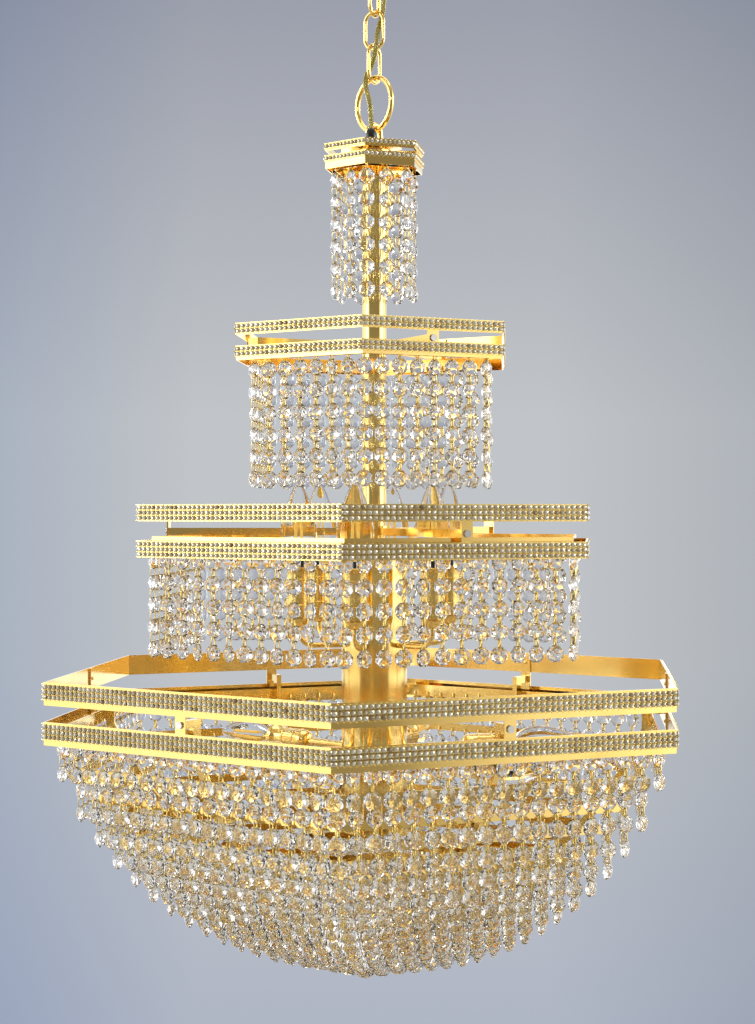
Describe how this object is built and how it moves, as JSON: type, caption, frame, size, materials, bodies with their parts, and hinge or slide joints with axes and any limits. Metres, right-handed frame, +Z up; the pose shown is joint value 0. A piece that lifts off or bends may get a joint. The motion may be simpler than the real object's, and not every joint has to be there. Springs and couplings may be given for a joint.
{
  "type": "crystal chandelier",
  "caption": "Hexagonal tiered ceiling light: brass column, stone-set bands, curtains of crystal strands over a deep bowl, with upright and level candle lamps, hung by a short chain from a hook.",
  "frame": {"origin": "middle of the ceiling plate's upper face, where it meets the ceiling", "axes": "+Z up out of the ceiling plate along the column, -Y towards the front of the chandelier"},
  "size_m": [0.5874, 0.6394, 0.9925],
  "materials": {
    "brass": "polished, lightly aged",
    "crystal": "cut clear glass",
    "stone": "small cut stones in gilt settings",
    "bulb_glass": "clear",
    "socket": "black, glossy",
    "cord": "clear olive sheath over copper",
    "terminal": "moulded"
  },
  "bodies": {
    "ceiling": {"ceiling_plate": "brass", "ceiling_hook": "brass", "terminal_block": "terminal"},
    "canopy": {"ceiling_canopy": "brass"},
    "top_link": {"chain_link_top": "brass"},
    "middle_link": {"chain_link_middle": "brass", "supply_cord": "cord"},
    "lower_link": {"chain_link_lower": "brass"},
    "ring": {"suspension_ring": "brass"},
    "frame": {"hanger_eye": "brass", "crown_hub": "brass", "upper_column": "brass", "column_cap": "brass", "lower_column": "brass", "column_base": "brass", "centre_rod": "brass", "bowl_hub": "brass", "bowl_nut": "brass", "crown_upper_band": "brass", "crown_lower_band": "brass", "tier_2_upper_band": "brass", "tier_2_lower_band": "brass", "tier_3_upper_band": "brass", "tier_3_lower_band": "brass", "tier_4_upper_band": "brass", "tier_4_lower_band": "brass", "band_straps": "brass", "hook_rails": "brass", "crown_spokes": "brass", "tier_2_spokes": "brass", "tier_3_spokes": "brass", "strap_screws": "brass", "bowl_ribs": "brass", "bowl_hoops": "brass", "upper_arms": "brass", "lower_arms": "brass", "upper_cups": "brass", "lower_cups": "brass", "crown_strands": "crystal", "tier_2_strands": "crystal", "tier_3_strands": "crystal", "tier_4_strands": "crystal", "bowl_strands": "crystal", "band_stones": "stone", "upper_sockets": "socket", "lower_sockets": "socket", "cord_gland": "socket"},
    "upper_bulb_1": {"upper_bulb_1": "bulb_glass"},
    "upper_bulb_2": {"upper_bulb_2": "bulb_glass"},
    "upper_bulb_3": {"upper_bulb_3": "bulb_glass"},
    "upper_bulb_4": {"upper_bulb_4": "bulb_glass"},
    "upper_bulb_5": {"upper_bulb_5": "bulb_glass"},
    "upper_bulb_6": {"upper_bulb_6": "bulb_glass"},
    "lower_bulb_1": {"lower_bulb_1": "bulb_glass"},
    "lower_bulb_2": {"lower_bulb_2": "bulb_glass"},
    "lower_bulb_3": {"lower_bulb_3": "bulb_glass"},
    "lower_bulb_4": {"lower_bulb_4": "bulb_glass"},
    "lower_bulb_5": {"lower_bulb_5": "bulb_glass"},
    "lower_bulb_6": {"lower_bulb_6": "bulb_glass"}
  },
  "joints": [
    {"name": "canopy_slide", "type": "slide", "parent": "ceiling", "child": "canopy", "axis": [0, 0, -1], "range_m": [0, 0.03], "deforming": ["supply_cord"]},
    {"name": "hook_swing", "type": "hinge", "parent": "ceiling", "child": "top_link", "pos_m": [0, 0, -0.0575], "axis": [0.866, -0.5, 0], "range_deg": [-6, 6], "deforming": ["supply_cord"]},
    {"name": "top_link_swing", "type": "hinge", "parent": "top_link", "child": "middle_link", "pos_m": [0, 0, -0.08845], "axis": [0.4226, 0.9063, 0], "range_deg": [-6, 6], "deforming": ["supply_cord"]},
    {"name": "middle_link_swing", "type": "hinge", "parent": "middle_link", "child": "lower_link", "pos_m": [0, 0, -0.12015], "axis": [0.866, -0.5, 0], "range_deg": [-6, 6], "deforming": ["supply_cord"]},
    {"name": "lower_link_swing", "type": "hinge", "parent": "lower_link", "child": "ring", "pos_m": [0, 0, -0.15185], "axis": [0.5446, 0.8387, 0], "range_deg": [-6, 6], "deforming": ["supply_cord"]},
    {"name": "ring_swing", "type": "hinge", "parent": "ring", "child": "frame", "pos_m": [0, 0, -0.1973], "axis": [0.6428, -0.766, 0], "range_deg": [-6, 6], "deforming": ["supply_cord"]},
    {"name": "upper_bulb_1_turn", "type": "hinge", "parent": "frame", "child": "upper_bulb_1", "pos_m": [-0.01727, -0.07196, -0.609], "axis": [0, 0, 1], "continuous": true},
    {"name": "upper_bulb_2_turn", "type": "hinge", "parent": "frame", "child": "upper_bulb_2", "pos_m": [0.05368, -0.05094, -0.609], "axis": [0, 0, 1], "continuous": true},
    {"name": "upper_bulb_3_turn", "type": "hinge", "parent": "frame", "child": "upper_bulb_3", "pos_m": [0.07095, 0.02102, -0.609], "axis": [0, 0, 1], "continuous": true},
    {"name": "upper_bulb_4_turn", "type": "hinge", "parent": "frame", "child": "upper_bulb_4", "pos_m": [0.01727, 0.07196, -0.609], "axis": [0, 0, 1], "continuous": true},
    {"name": "upper_bulb_5_turn", "type": "hinge", "parent": "frame", "child": "upper_bulb_5", "pos_m": [-0.05368, 0.05094, -0.609], "axis": [0, 0, 1], "continuous": true},
    {"name": "upper_bulb_6_turn", "type": "hinge", "parent": "frame", "child": "upper_bulb_6", "pos_m": [-0.07095, -0.02102, -0.609], "axis": [0, 0, 1], "continuous": true},
    {"name": "lower_bulb_1_turn", "type": "hinge", "parent": "frame", "child": "lower_bulb_1", "pos_m": [-0.03292, -0.1371, -0.7847], "axis": [-0.2334, -0.9724, 0], "continuous": true},
    {"name": "lower_bulb_2_turn", "type": "hinge", "parent": "frame", "child": "lower_bulb_2", "pos_m": [0.10228, -0.09706, -0.7847], "axis": [0.7254, -0.6884, 0], "continuous": true},
    {"name": "lower_bulb_3_turn", "type": "hinge", "parent": "frame", "child": "lower_bulb_3", "pos_m": [0.13519, 0.04005, -0.7847], "axis": [0.9588, 0.284, 0], "continuous": true},
    {"name": "lower_bulb_4_turn", "type": "hinge", "parent": "frame", "child": "lower_bulb_4", "pos_m": [0.03292, 0.1371, -0.7847], "axis": [0.2334, 0.9724, 0], "continuous": true},
    {"name": "lower_bulb_5_turn", "type": "hinge", "parent": "frame", "child": "lower_bulb_5", "pos_m": [-0.10228, 0.09706, -0.7847], "axis": [-0.7254, 0.6884, 0], "continuous": true},
    {"name": "lower_bulb_6_turn", "type": "hinge", "parent": "frame", "child": "lower_bulb_6", "pos_m": [-0.13519, -0.04005, -0.7847], "axis": [-0.9588, -0.284, 0], "continuous": true}
  ]
}
